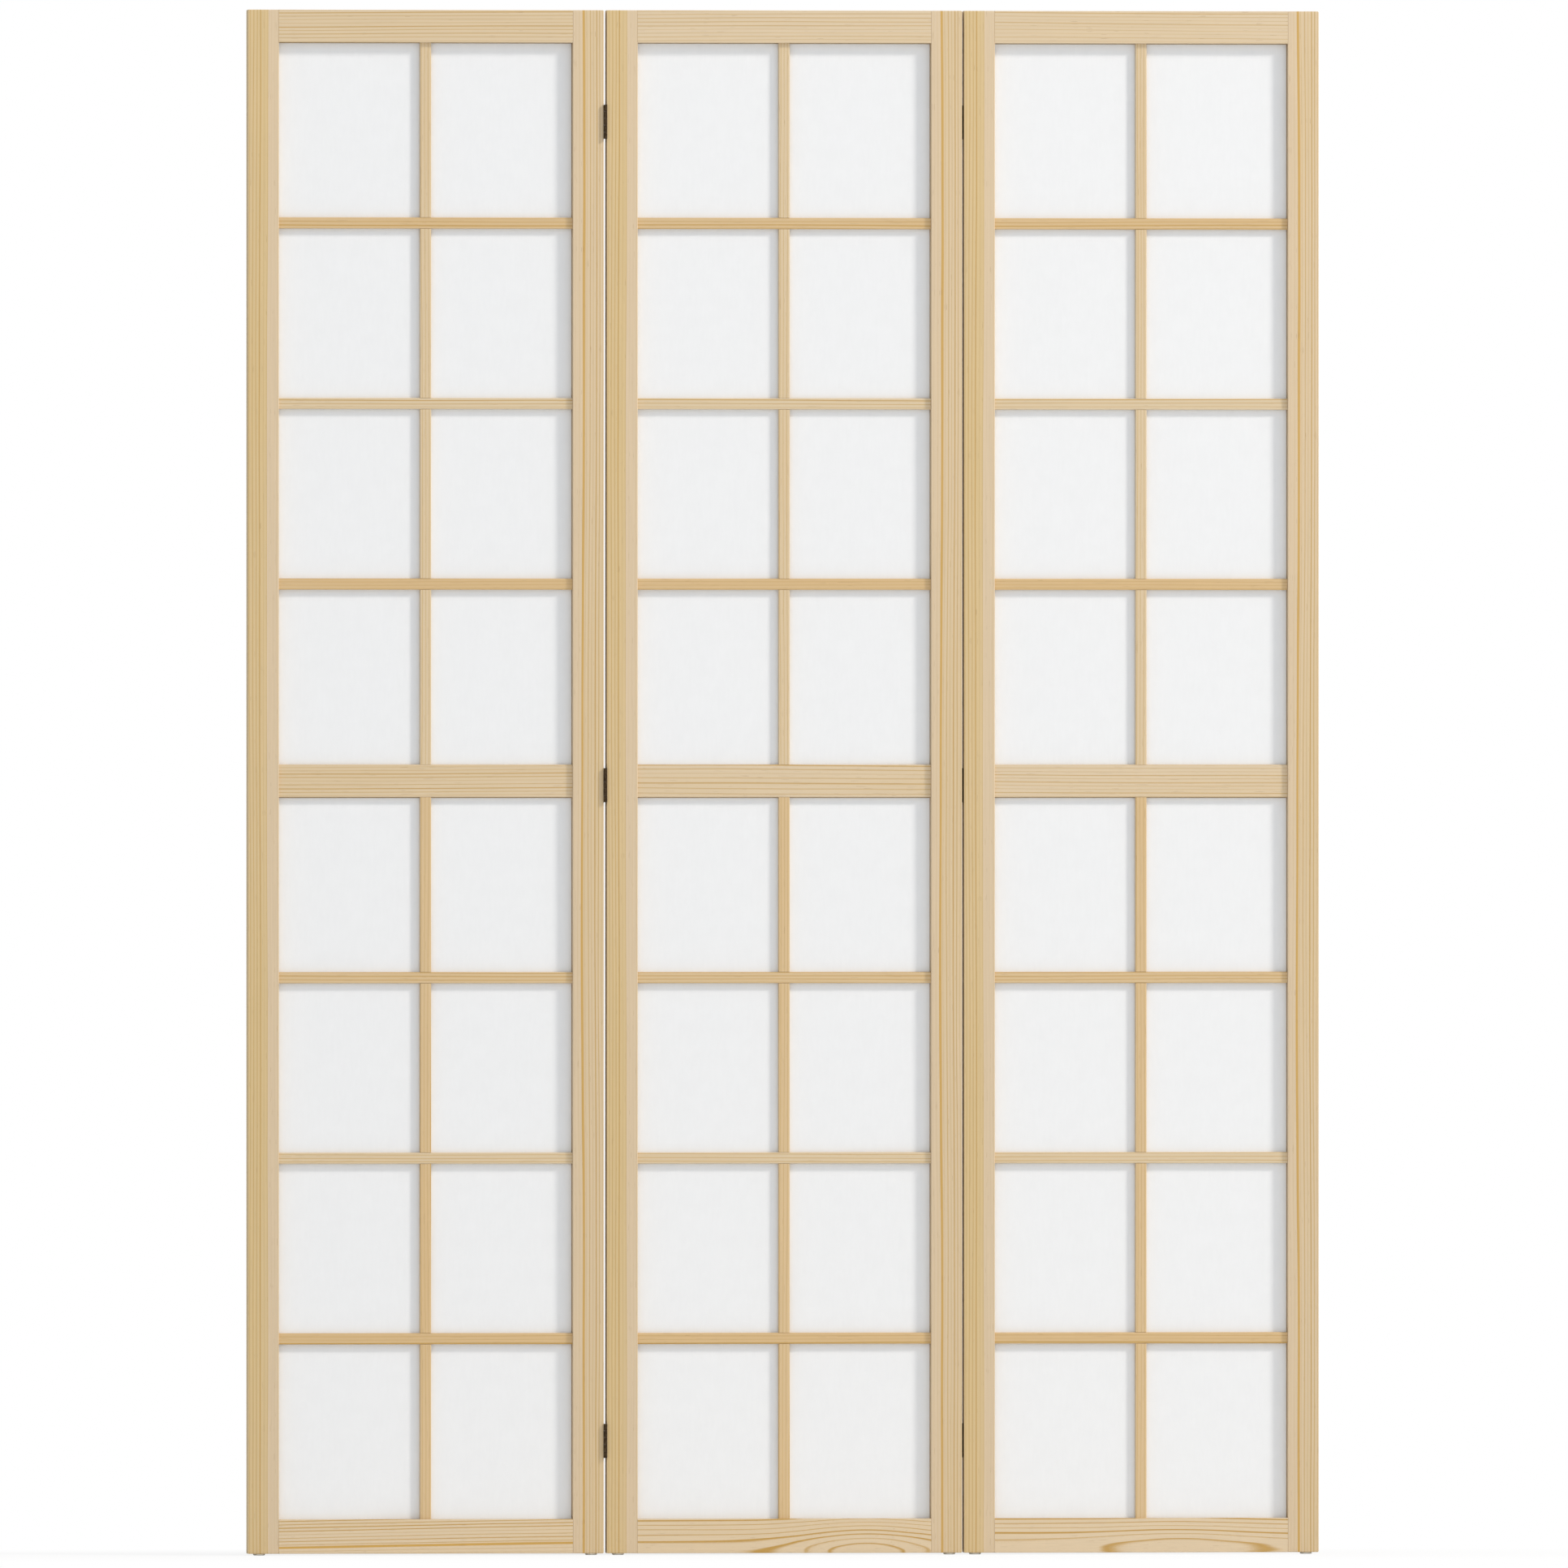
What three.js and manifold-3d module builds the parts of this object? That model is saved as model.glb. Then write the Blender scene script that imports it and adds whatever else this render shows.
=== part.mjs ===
// A three-panel shoji folding screen, opened flat. Sizes are in millimetres.
// +X runs to the right, the front faces -Y and +Z is up. The origin lies on
// the floor, under the middle of the screen. The left panel folds forwards and
// the right panel folds backwards, each on three butt hinges.

import * as THREE from "three";
import { mergeVertices } from "three/addons/utils/BufferGeometryUtils.js";
import Module from "manifold-3d";

const wasm = await Module();
wasm.setup();

// --- Panel frame ---------------------------------------------------------

const OPENING_WIDTH = 344.4;
const OPENING_HEIGHT = 841;
const FRAME_THICKNESS = 19;
const STILE_WIDTH = 36.25;
const TOP_RAIL_HEIGHT = 38;
const MIDDLE_RAIL_HEIGHT = 38;
const BOTTOM_RAIL_HEIGHT = 40;
const FACE_RECESS = 3.8; // the middle rail and the lattice lie behind the stiles' faces

// --- Rounding of the wooden edges ----------------------------------------

const STILE_ARRIS = 1.5;
const STILE_END_EASE = 1.2;
const RAIL_ARRIS = 1.5;
const BAR_CHAMFER = 0.8; // along the lattice's outer edges

// --- Rail tenons, glued in blind mortises in the stiles --------------------

const TENON_THICKNESS = 6;
const TENON_LENGTH = 18;
const TENON_SHOULDER = 6; // rail left above and below its tenon
const MORTISE_CLEARANCE = 0.3;

// --- Lattice and paper -----------------------------------------------------

const BAR_WIDTH = 14;
const PANES_ACROSS = 2;
const PANES_DOWN = 4; // in each opening
const STUB_LENGTH = 4; // stub tenon at each end of a bar
const STUB_SHOULDER = 2;
const SOCKET_CLEARANCE = 0.3;
const PAPER_THICKNESS = 0.4;
const PAPER_MARGIN = 0.8; // from the paper's edge to the frame
const PAPER_GAP = 0.05; // glue line between paper and lattice

// --- Joints between the panels ---------------------------------------------

const LEFT_SLIT = 3.5;
const RIGHT_SLIT = 2.2;
const PIN_STAND_OFF = 1.6; // from the frame's face to the hinge pin's axis

// --- Butt hinges -------------------------------------------------------------

const HINGE_LENGTH = 40;
const TOP_HINGE_DROP = 130; // from the panel's top to the hinge's middle
const MIDDLE_HINGE_DROP = 4; // from the panel's mid height to the hinge's middle
const BOTTOM_HINGE_HEIGHT = 131; // from the panel's bottom to the hinge's middle
const LEAF_THICKNESS = 1.2;
const LEAF_WIDTH = 15; // from the pin's axis to the leaf's edge
const LEAF_GAP = 1.75; // between the two leaves when the panels are in line
const LEAF_CORNER = 2;
const LEAF_BEDDING = 0.05; // between a leaf and the wood that it is let into
const GAIN_CLEARANCE = 0.3; // round the leaf's ends and edge
const PIN_RADIUS = 0.8;
const PIN_CHAMFER = 0.25;
const PIN_CLEARANCE = 0.06;
const KNUCKLE_COUNT = 5;
const KNUCKLE_GAP = 0.3;
const SCREW_SPACING = 24;
const SCREW_EDGE = 5.5; // from the leaf's edge to the screws' axes
const SCREW_HOLE_RADIUS = 1.5;
const SCREW_HEAD_RADIUS = 2.5;

// --- Glides nailed under the stiles --------------------------------------------

const GLIDE_RADIUS = 7;
const GLIDE_FLAT_RADIUS = 5;
const GLIDE_HEIGHT = 2;
const GLIDE_DOME = 1.2; // height of the rounding under the rim
const GLIDE_INSET = 14; // from the stile's outer edge to the glide's axis
const NAIL_RADIUS = 1;
const NAIL_LENGTH = 12;
const NAIL_POINT = 3;
const NAIL_CLEARANCE = 0.3;

// --- Fineness of the round forms ------------------------------------------------

const HINGE_SIDES = 16;
const HOLE_SIDES = 12;
const GLIDE_SIDES = 12;
const ARRIS_STEPS = 1; // each step gives two facets in a quarter round

// --- Sizes that follow -----------------------------------------------------------

const PANEL_WIDTH = OPENING_WIDTH + 2 * STILE_WIDTH;
const LOWER_OPENING_BOTTOM = BOTTOM_RAIL_HEIGHT;
const MIDDLE_RAIL_BOTTOM = LOWER_OPENING_BOTTOM + OPENING_HEIGHT;
const UPPER_OPENING_BOTTOM = MIDDLE_RAIL_BOTTOM + MIDDLE_RAIL_HEIGHT;
const TOP_RAIL_BOTTOM = UPPER_OPENING_BOTTOM + OPENING_HEIGHT;
const PANEL_HEIGHT = TOP_RAIL_BOTTOM + TOP_RAIL_HEIGHT;
const RECESSED_THICKNESS = FRAME_THICKNESS - 2 * FACE_RECESS;
const BAR_INNER_FACE = PAPER_THICKNESS / 2 + PAPER_GAP;
const BAR_OUTER_FACE = RECESSED_THICKNESS / 2;
const BAR_DEPTH = BAR_OUTER_FACE - BAR_INNER_FACE;
const BORE_RADIUS = PIN_RADIUS + PIN_CLEARANCE;
const KNUCKLE_RADIUS = BORE_RADIUS + LEAF_THICKNESS;
const KNUCKLE_PITCH = HINGE_LENGTH / KNUCKLE_COUNT;
const LEAF_FACE = LEAF_GAP / 2; // from the pin's plane to a leaf's open face
const LEAF_BACK = LEAF_FACE + LEAF_THICKNESS;
const PIN_PLANE = FRAME_THICKNESS / 2 + PIN_STAND_OFF; // from the screen's mid plane
const GLIDE_OFFSET = STILE_WIDTH / 2 - GLIDE_INSET; // outwards from the stile's middle

const RAILS = [
  { name: "bottom_rail", bottom: 0, height: BOTTOM_RAIL_HEIGHT, thickness: FRAME_THICKNESS },
  {
    name: "middle_rail",
    bottom: MIDDLE_RAIL_BOTTOM,
    height: MIDDLE_RAIL_HEIGHT,
    thickness: RECESSED_THICKNESS,
  },
  { name: "top_rail", bottom: TOP_RAIL_BOTTOM, height: TOP_RAIL_HEIGHT, thickness: FRAME_THICKNESS },
];

const OPENINGS = [
  { name: "lower", bottom: LOWER_OPENING_BOTTOM },
  { name: "upper", bottom: UPPER_OPENING_BOTTOM },
];

const HINGES = [
  { name: "bottom_hinge", height: BOTTOM_HINGE_HEIGHT },
  { name: "middle_hinge", height: PANEL_HEIGHT / 2 - MIDDLE_HINGE_DROP },
  { name: "top_hinge", height: PANEL_HEIGHT - TOP_HINGE_DROP },
];

// The joints, with the side of the frame that their pins stand on.
const LEFT_JOINT = { slit: LEFT_SLIT, pinSide: -1 };
const RIGHT_JOINT = { slit: RIGHT_SLIT, pinSide: 1 };

// --- Materials ---------------------------------------------------------------------

function matt(colour, roughness) {
  return new THREE.MeshStandardMaterial({ color: colour, roughness, metalness: 0 });
}

const stilePine = () => matt("#d5bd95", 0.6);
const railPine = () => matt("#d9c29d", 0.6);
const latticePine = () => matt("#d5b98c", 0.6);
const paperWhite = () => matt("#f1f0ee", 0.9);
const glideGrey = () => matt("#b9b7aa", 0.5);
const hingeBronze = () =>
  new THREE.MeshStandardMaterial({ color: "#3f3222", roughness: 0.45, metalness: 0.9 });

// --- Helpers --------------------------------------------------------------------------

// Turns a closed three.js geometry into a solid that can be joined and cut.
function solid(geometry) {
  geometry.deleteAttribute("normal");
  geometry.deleteAttribute("uv");
  const merged = mergeVertices(geometry);
  return new wasm.Manifold(
    new wasm.Mesh({
      numProp: 3,
      vertProperties: Float32Array.from(merged.attributes.position.array),
      triVerts: Uint32Array.from(merged.index.array),
    }),
  );
}

// Gives a solid back as a geometry with flat facets.
function geometryOf(shape) {
  const { vertProperties, triVerts } = shape.getMesh();
  const indexed = new THREE.BufferGeometry();
  indexed.setAttribute("position", new THREE.BufferAttribute(vertProperties, 3));
  indexed.setIndex(new THREE.BufferAttribute(triVerts, 1));
  const faceted = indexed.toNonIndexed();
  faceted.computeVertexNormals();
  return faceted;
}

function piece(name, geometry, material) {
  const mesh = new THREE.Mesh(geometry, material);
  mesh.name = name;
  return mesh;
}

// A block between two opposite corners, given as [x, y, z].
function block(from, to) {
  const low = from.map((value, axis) => Math.min(value, to[axis]));
  const size = from.map((value, axis) => Math.abs(to[axis] - value));
  const geometry = new THREE.BoxGeometry(...size);
  geometry.translate(...low.map((value, axis) => value + size[axis] / 2));
  return solid(geometry);
}

// A round bar about the Z axis.
function rod(radius, bottom, top, sides) {
  const geometry = new THREE.CylinderGeometry(radius, radius, top - bottom, sides);
  geometry.rotateX(Math.PI / 2);
  geometry.translate(0, 0, (bottom + top) / 2);
  return solid(geometry);
}

// A rectangle round the origin whose four corners are rounded.
function easedRectangle(width, depth, radius) {
  const x = width / 2 - radius;
  const y = depth / 2 - radius;
  const shape = new THREE.Shape();
  shape.absarc(x, y, radius, 0, Math.PI / 2, false);
  shape.absarc(-x, y, radius, Math.PI / 2, Math.PI, false);
  shape.absarc(-x, -y, radius, Math.PI, 1.5 * Math.PI, false);
  shape.absarc(x, -y, radius, 1.5 * Math.PI, 2 * Math.PI, false);
  return shape;
}

// A section of which only the two corners of the outer face, at -Y, are taken off.
function barSection(width, depth, chamfer) {
  const x = width / 2;
  const y = depth / 2;
  const shape = new THREE.Shape();
  shape.moveTo(x, y);
  shape.lineTo(-x, y);
  shape.lineTo(-x, -y + chamfer);
  shape.lineTo(-x + chamfer, -y);
  shape.lineTo(x - chamfer, -y);
  shape.lineTo(x, -y + chamfer);
  return shape;
}

// A length of one section, standing on the origin.
function upright(section, length) {
  return new THREE.ExtrudeGeometry(section, {
    depth: length,
    bevelEnabled: false,
    curveSegments: ARRIS_STEPS,
  });
}

// The same, lying along X with its middle at the origin.
function level(section, length) {
  const geometry = upright(section, length);
  geometry.translate(0, 0, -length / 2);
  geometry.rotateY(Math.PI / 2);
  return geometry;
}

// --- Places that several pieces share ---------------------------------------------------

// The heights of the horizontal bars above the bottom of their opening.
function barHeights() {
  const count = PANES_DOWN - 1;
  return Array.from({ length: count }, (_, i) => (OPENING_HEIGHT * (i + 1)) / PANES_DOWN);
}

// The places of the vertical bars across the opening, from its middle.
function barOffsets() {
  const count = PANES_ACROSS - 1;
  return Array.from({ length: count }, (_, i) => OPENING_WIDTH * ((i + 1) / PANES_ACROSS - 0.5));
}

const STUB_HALF_WIDTH = BAR_WIDTH / 2 - STUB_SHOULDER;
const SOCKET_HALF_WIDTH = STUB_HALF_WIDTH + SOCKET_CLEARANCE;
const SOCKET_HALF_DEPTH = BAR_OUTER_FACE - STUB_SHOULDER + SOCKET_CLEARANCE;
const SOCKET_LENGTH = STUB_LENGTH + SOCKET_CLEARANCE;

// --- Stile: inner face towards +X or -X, with its mortises, sockets and gains -------------

function mortise(rail, inner) {
  const halfThickness = TENON_THICKNESS / 2 + MORTISE_CLEARANCE;
  const face = (inner * STILE_WIDTH) / 2;
  const end = face - inner * (TENON_LENGTH + MORTISE_CLEARANCE);
  const bottom = rail.bottom + TENON_SHOULDER - MORTISE_CLEARANCE;
  const top = rail.bottom + rail.height - TENON_SHOULDER + MORTISE_CLEARANCE;
  return block([face + inner, -halfThickness, bottom], [end, halfThickness, top]);
}

function stileSocket(height, inner) {
  const face = (inner * STILE_WIDTH) / 2;
  return block(
    [face + inner, -SOCKET_HALF_DEPTH, height - SOCKET_HALF_WIDTH],
    [face - inner * SOCKET_LENGTH, SOCKET_HALF_DEPTH, height + SOCKET_HALF_WIDTH],
  );
}

// The shallow seat of one hinge leaf, open towards the side that the pin stands on.
function gain(hinge, joint, inner) {
  const edge = (-inner * STILE_WIDTH) / 2;
  const depth = LEAF_BACK + LEAF_BEDDING - joint.slit / 2;
  const openSide = joint.pinSide * (FRAME_THICKNESS / 2 + 1);
  const shutSide = joint.pinSide * (PIN_PLANE - LEAF_WIDTH - GAIN_CLEARANCE);
  const halfLength = HINGE_LENGTH / 2 + GAIN_CLEARANCE;
  return block(
    [edge - inner, openSide, hinge.height - halfLength],
    [edge + inner * depth, shutSide, hinge.height + halfLength],
  );
}

function stile(inner, joint) {
  const blank = new THREE.ExtrudeGeometry(
    easedRectangle(STILE_WIDTH, FRAME_THICKNESS, STILE_ARRIS),
    {
      depth: PANEL_HEIGHT - 2 * STILE_END_EASE,
      bevelSize: STILE_END_EASE,
      bevelOffset: -STILE_END_EASE,
      bevelThickness: STILE_END_EASE,
      bevelSegments: 2,
      curveSegments: ARRIS_STEPS,
    },
  );
  blank.translate(0, 0, STILE_END_EASE);
  let wood = solid(blank);
  for (const rail of RAILS) {
    wood = wood.subtract(mortise(rail, inner));
  }
  for (const opening of OPENINGS) {
    for (const height of barHeights()) {
      wood = wood.subtract(stileSocket(opening.bottom + height, inner));
    }
  }
  for (const hinge of joint ? HINGES : []) {
    wood = wood.subtract(gain(hinge, joint, inner));
  }
  const drill = rod(NAIL_RADIUS + NAIL_CLEARANCE, -1, NAIL_LENGTH + NAIL_CLEARANCE, HOLE_SIDES);
  return geometryOf(wood.subtract(drill.translate([-inner * GLIDE_OFFSET, 0, 0])));
}

// --- Rail: lying along X, with a tenon at each end and sockets for the vertical bars ---------

function railSocket(offset, face, inwards) {
  return block(
    [offset - SOCKET_HALF_WIDTH, -SOCKET_HALF_DEPTH, face - inwards],
    [offset + SOCKET_HALF_WIDTH, SOCKET_HALF_DEPTH, face + inwards * SOCKET_LENGTH],
  );
}

function rail({ bottom, height, thickness }) {
  const tenonReach = OPENING_WIDTH / 2 + TENON_LENGTH;
  const tenonTop = height / 2 - TENON_SHOULDER;
  const tenons = block(
    [-tenonReach, -TENON_THICKNESS / 2, -tenonTop],
    [tenonReach, TENON_THICKNESS / 2, tenonTop],
  );
  let wood = solid(level(easedRectangle(height, thickness, RAIL_ARRIS), OPENING_WIDTH)).add(tenons);
  for (const offset of barOffsets()) {
    if (bottom > 0) {
      wood = wood.subtract(railSocket(offset, -height / 2, 1));
    }
    if (bottom < TOP_RAIL_BOTTOM) {
      wood = wood.subtract(railSocket(offset, height / 2, -1));
    }
  }
  return geometryOf(wood);
}

// --- Lattice: one glued grid of cross-lapped bars, whose outer face looks to -Y ------------

function lattice() {
  const section = barSection(BAR_WIDTH, BAR_DEPTH, BAR_CHAMFER);
  const middle = -(BAR_INNER_FACE + BAR_OUTER_FACE) / 2;
  const stubFace = -(BAR_OUTER_FACE - STUB_SHOULDER);
  const acrossReach = OPENING_WIDTH / 2 + STUB_LENGTH;
  const bars = [];
  for (const height of barHeights()) {
    const across = solid(level(section, OPENING_WIDTH)).translate([0, middle, height]);
    const stubs = block(
      [-acrossReach, stubFace, height - STUB_HALF_WIDTH],
      [acrossReach, -BAR_INNER_FACE, height + STUB_HALF_WIDTH],
    );
    bars.push(across, stubs);
  }
  for (const offset of barOffsets()) {
    const up = solid(upright(section, OPENING_HEIGHT)).translate([offset, middle, 0]);
    const stubs = block(
      [offset - STUB_HALF_WIDTH, stubFace, -STUB_LENGTH],
      [offset + STUB_HALF_WIDTH, -BAR_INNER_FACE, OPENING_HEIGHT + STUB_LENGTH],
    );
    bars.push(up, stubs);
  }
  return geometryOf(bars.reduce((grid, bar) => grid.add(bar)));
}

// --- Paper: one sheet for each opening, held between the two lattices ------------------------

function paper() {
  const geometry = new THREE.BoxGeometry(
    OPENING_WIDTH - 2 * PAPER_MARGIN,
    PAPER_THICKNESS,
    OPENING_HEIGHT - 2 * PAPER_MARGIN,
  );
  geometry.translate(0, 0, OPENING_HEIGHT / 2);
  return geometry;
}

// --- Glide: a domed disc with a nail shank --------------------------------------------------

function glide() {
  const rim = GLIDE_RADIUS - GLIDE_FLAT_RADIUS;
  const dome = [0, 1, 2].map((step) => {
    const angle = (step * Math.PI) / 4;
    const radius = GLIDE_FLAT_RADIUS + rim * Math.sin(angle);
    return new THREE.Vector2(radius, GLIDE_DOME * (1 - Math.cos(angle)));
  });
  const profile = [
    new THREE.Vector2(0, 0),
    ...dome,
    new THREE.Vector2(GLIDE_RADIUS, GLIDE_HEIGHT),
    new THREE.Vector2(NAIL_RADIUS, GLIDE_HEIGHT),
    new THREE.Vector2(NAIL_RADIUS, GLIDE_HEIGHT + NAIL_LENGTH - NAIL_POINT),
    new THREE.Vector2(0, GLIDE_HEIGHT + NAIL_LENGTH),
  ];
  const geometry = new THREE.LatheGeometry(profile, GLIDE_SIDES);
  geometry.rotateX(Math.PI / 2);
  return geometry;
}

// --- Hinge: its pin is the Z axis, and its leaves reach into the slit along +Y ----------------

// Each leaf holds every other knuckle. The fixed leaf starts with the lowest one.
function knuckleMiddles(first) {
  const middles = [];
  for (let i = first; i < KNUCKLE_COUNT; i += 2) {
    middles.push((i + 0.5) * KNUCKLE_PITCH - HINGE_LENGTH / 2);
  }
  return middles;
}

function knuckle(middle, side) {
  const half = (KNUCKLE_PITCH - KNUCKLE_GAP) / 2;
  const neck = BORE_RADIUS + LEAF_THICKNESS / 4;
  const plate = block(
    [side * LEAF_FACE, neck, middle - half],
    [side * LEAF_BACK, KNUCKLE_RADIUS + 2 * KNUCKLE_GAP, middle + half],
  );
  const barrel = rod(KNUCKLE_RADIUS, middle - half, middle + half, HINGE_SIDES);
  const bore = rod(BORE_RADIUS, middle - half - 1, middle + half + 1, HINGE_SIDES);
  return barrel.subtract(bore).add(plate);
}

// A hole that narrows from the leaf's open face to its back.
function countersink(height, side) {
  const geometry = new THREE.CylinderGeometry(
    SCREW_HEAD_RADIUS,
    SCREW_HOLE_RADIUS,
    LEAF_THICKNESS,
    HOLE_SIDES,
  );
  geometry.rotateZ((side * Math.PI) / 2);
  geometry.translate(side * (LEAF_FACE + LEAF_THICKNESS / 2), LEAF_WIDTH - SCREW_EDGE, height);
  return solid(geometry);
}

function leaf(side, firstKnuckle) {
  const start = KNUCKLE_RADIUS + KNUCKLE_GAP;
  const width = LEAF_WIDTH - start;
  const outline = easedRectangle(HINGE_LENGTH, width, LEAF_CORNER);
  const plate = upright(outline, LEAF_THICKNESS);
  plate.rotateY(Math.PI / 2);
  plate.translate(side > 0 ? LEAF_FACE : -LEAF_BACK, start + width / 2, 0);
  let metal = solid(plate);
  for (const middle of knuckleMiddles(firstKnuckle)) {
    metal = metal.add(knuckle(middle, side));
  }
  for (const height of [-SCREW_SPACING / 2, SCREW_SPACING / 2]) {
    metal = metal.subtract(countersink(height, side));
  }
  return geometryOf(metal);
}

function pin() {
  const end = HINGE_LENGTH / 2;
  const profile = [
    new THREE.Vector2(0, -end),
    new THREE.Vector2(PIN_RADIUS - PIN_CHAMFER, -end),
    new THREE.Vector2(PIN_RADIUS, -end + PIN_CHAMFER),
    new THREE.Vector2(PIN_RADIUS, end - PIN_CHAMFER),
    new THREE.Vector2(PIN_RADIUS - PIN_CHAMFER, end),
    new THREE.Vector2(0, end),
  ];
  const geometry = new THREE.LatheGeometry(profile, HINGE_SIDES);
  geometry.rotateX(Math.PI / 2);
  return geometry;
}

// --- Assembly ------------------------------------------------------------------------------

// One panel, with its middle on the Z axis and its lower edge at the origin.
function panel(name, leftJoint, rightJoint) {
  const group = new THREE.Group();
  const stileOffset = (OPENING_WIDTH + STILE_WIDTH) / 2;
  const sides = [
    { name: "left", inner: 1, joint: leftJoint },
    { name: "right", inner: -1, joint: rightJoint },
  ];
  for (const side of sides) {
    const post = piece(`${name}_${side.name}_stile`, stile(side.inner, side.joint), stilePine());
    post.position.x = -side.inner * stileOffset;
    const foot = piece(`${name}_${side.name}_glide`, glide(), glideGrey());
    foot.position.set(-side.inner * (stileOffset + GLIDE_OFFSET), 0, -GLIDE_HEIGHT);
    group.add(post, foot);
  }
  for (const place of RAILS) {
    const beam = piece(`${name}_${place.name}`, rail(place), railPine());
    beam.position.z = place.bottom + place.height / 2;
    group.add(beam);
  }
  for (const opening of OPENINGS) {
    const front = piece(`${name}_front_${opening.name}_lattice`, lattice(), latticePine());
    const back = piece(`${name}_back_${opening.name}_lattice`, lattice(), latticePine());
    const sheet = piece(`${name}_${opening.name}_paper`, paper(), paperWhite());
    back.rotation.z = Math.PI;
    for (const part of [front, back, sheet]) {
      part.position.z = opening.bottom;
      group.add(part);
    }
  }
  return group;
}

// One hinge, whose fixed leaf is on the centre panel.
function butt(name) {
  const group = new THREE.Group();
  group.add(
    piece(`${name}_fixed_leaf`, leaf(1, 0), hingeBronze()),
    piece(`${name}_swing_leaf`, leaf(-1, 1), hingeBronze()),
    piece(`${name}_pin`, pin(), hingeBronze()),
  );
  return group;
}

function hingeSet(name, joint, place) {
  const group = new THREE.Group();
  for (const hinge of HINGES) {
    const set = butt(`${name}_${hinge.name}`);
    set.position.set(place, joint.pinSide * PIN_PLANE, hinge.height);
    set.rotation.z = joint.pinSide > 0 ? Math.PI : 0;
    group.add(set);
  }
  return group;
}

const centrePanel = panel("centre_panel", LEFT_JOINT, RIGHT_JOINT);
const leftPanel = panel("left_panel", null, LEFT_JOINT);
const rightPanel = panel("right_panel", RIGHT_JOINT, null);
leftPanel.position.x = -(PANEL_WIDTH + LEFT_SLIT);
rightPanel.position.x = PANEL_WIDTH + RIGHT_SLIT;
const leftHinges = hingeSet("left", LEFT_JOINT, -(PANEL_WIDTH + LEFT_SLIT) / 2);
const rightHinges = hingeSet("right", RIGHT_JOINT, (PANEL_WIDTH + RIGHT_SLIT) / 2);

const screen = new THREE.Group();
screen.add(leftPanel, centrePanel, rightPanel, leftHinges, rightHinges);
screen.position.set((LEFT_SLIT - RIGHT_SLIT) / 2, 0, GLIDE_HEIGHT);

const group = new THREE.Group();
group.add(screen);
group.updateMatrixWorld(true);

export default group;
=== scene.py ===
# %% [markdown]
# # A three-panel shoji screen
#
# This lesson dresses a folding screen of pale pine and white paper. The solid
# model of the screen is already there, with every post, rail and hinge in its
# place, and this script gives each piece its finished surface. The lengths are
# in metres, +X runs to the right, the front of the screen faces -Y and +Z is up.

# %% Load the solid model
import bmesh
import bpy
import numpy as np
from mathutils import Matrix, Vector


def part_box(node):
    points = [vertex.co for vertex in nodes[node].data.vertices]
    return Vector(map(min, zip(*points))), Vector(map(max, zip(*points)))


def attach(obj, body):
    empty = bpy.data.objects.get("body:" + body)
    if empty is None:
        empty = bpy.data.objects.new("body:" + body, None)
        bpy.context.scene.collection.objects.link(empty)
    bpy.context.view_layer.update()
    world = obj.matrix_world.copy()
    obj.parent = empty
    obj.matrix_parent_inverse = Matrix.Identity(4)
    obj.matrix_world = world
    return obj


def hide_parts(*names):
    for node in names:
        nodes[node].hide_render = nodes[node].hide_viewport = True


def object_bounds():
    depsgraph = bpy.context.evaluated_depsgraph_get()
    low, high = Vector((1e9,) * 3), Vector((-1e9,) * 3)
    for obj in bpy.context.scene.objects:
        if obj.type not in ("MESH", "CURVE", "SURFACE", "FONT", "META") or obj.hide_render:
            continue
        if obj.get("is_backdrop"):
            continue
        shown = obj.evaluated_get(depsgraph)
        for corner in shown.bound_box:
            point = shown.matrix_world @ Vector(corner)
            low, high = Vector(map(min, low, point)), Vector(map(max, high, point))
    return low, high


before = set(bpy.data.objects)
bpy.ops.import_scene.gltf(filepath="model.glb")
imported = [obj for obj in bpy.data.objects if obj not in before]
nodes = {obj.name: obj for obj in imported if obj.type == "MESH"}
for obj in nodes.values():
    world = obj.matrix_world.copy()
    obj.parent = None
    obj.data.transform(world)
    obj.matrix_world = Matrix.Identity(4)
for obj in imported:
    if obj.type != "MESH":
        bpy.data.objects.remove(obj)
CAD_LOW, CAD_HIGH = (np.array(corner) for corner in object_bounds())
print("solid model from", CAD_LOW.round(4), "to", CAD_HIGH.round(4), "with", len(nodes), "pieces")

# %% [markdown]
# ## The camera
#
# The screen was pictured from very far away, level, and about six and a half
# degrees left of straight in front. Its posts stay upright and parallel, and the
# only inner walls that show are the ones that face left. A long lens far away
# does the same. How wide the picture is at the screen's face is known from the
# screen's own size, and the lens follows from it.

# %% Camera
PICTURE_SIDE = 1932
SCALE = 0.000946  # metres in one pixel, from the screen's height and width in both
SCREEN_MIDDLE = (966.0, 964.3)  # of the front of the screen, in pixels from the top left
CAMERA_DISTANCE = 60.0
CAMERA_TURN = np.radians(-6.6)  # from straight in front, to the left where it is negative


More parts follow.
